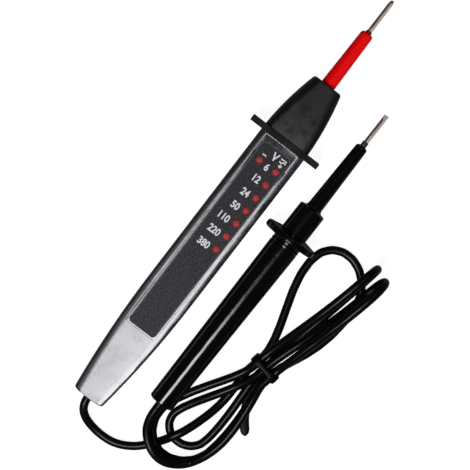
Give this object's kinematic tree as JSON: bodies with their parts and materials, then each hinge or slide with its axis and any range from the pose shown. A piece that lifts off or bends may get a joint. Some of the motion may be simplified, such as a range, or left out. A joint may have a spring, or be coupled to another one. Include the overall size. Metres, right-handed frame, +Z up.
{
  "type": "two-probe voltage tester",
  "caption": "Handheld voltage tester with a row of indicator lamps beside a printed scale, a red-sleeved tip, a second guarded probe and one bundled lead.",
  "frame": {"origin": "middle of the tester housing's flat back face, on the surface it lies on", "axes": "+Y along the tester to its steel tip, +X across to the second probe, +Z up from the back face through the label"},
  "size_m": [0.0861, 0.2174, 0.0243],
  "materials": {
    "housing_black": "gloss moulded ABS with fine grain",
    "label_grey": "satin printed foil",
    "lamp_red": "diffused red epoxy, unlit",
    "tinned_wire": "tinned",
    "board_green": "solder mask on glass fibre",
    "resistor_coat": "lacquered",
    "black_epoxy": "moulded epoxy",
    "capacitor_sleeve": "shrunk sleeve",
    "sleeve_red": "smooth moulded",
    "collar_dark": "moulded",
    "tip_steel": "drawn and ground",
    "contact_brass": "turned",
    "screw_steel": "zinc plated",
    "clamp_fibre": "moulded",
    "lead_pvc": "extruded soft PVC, satin",
    "copper_core": "stranded copper",
    "probe_black": "gloss moulded",
    "tie_black": "soft PVC strap"
  },
  "bodies": {
    "tester": {"front_cover": "housing_black", "rear_cover": "housing_black", "scale_label": "label_grey", "indicator_lamps": "lamp_red", "lamp_pins": "tinned_wire", "circuit_board": "board_green", "series_resistors": "resistor_coat", "rectifier_diodes": "black_epoxy", "comparator_chips": "black_epoxy", "smoothing_capacitor": "capacitor_sleeve", "finger_guard": "housing_black", "nose_cap": "housing_black", "tester_tip_sleeve": "sleeve_red", "tester_tip_collar": "collar_dark", "tester_tip_rod": "tip_steel", "tip_contact": "contact_brass", "cover_screws": "screw_steel", "lead_clamp": "clamp_fibre", "clamp_screws": "screw_steel", "tester_lead_end": "lead_pvc", "tester_lead_core": "copper_core", "lead_from_tester": "lead_pvc", "lead_hank": "lead_pvc", "lead_to_probe": "lead_pvc", "hank_tie": "tie_black"},
    "test_probe": {"probe_handle": "probe_black", "probe_guard": "probe_black", "probe_barrel": "probe_black", "probe_neck_collar": "collar_dark", "probe_tip_rod": "tip_steel", "probe_ferrule": "contact_brass", "probe_lead_end": "lead_pvc", "probe_lead_core": "copper_core", "probe_lead_stop": "clamp_fibre"}
  },
  "joints": [
    {"name": "probe_lift", "type": "hinge", "parent": "tester", "child": "test_probe", "pos_m": [0.02518, -0.0516, 0.01026], "axis": [1, 0, 0], "range_deg": [0, 45]}
  ]
}
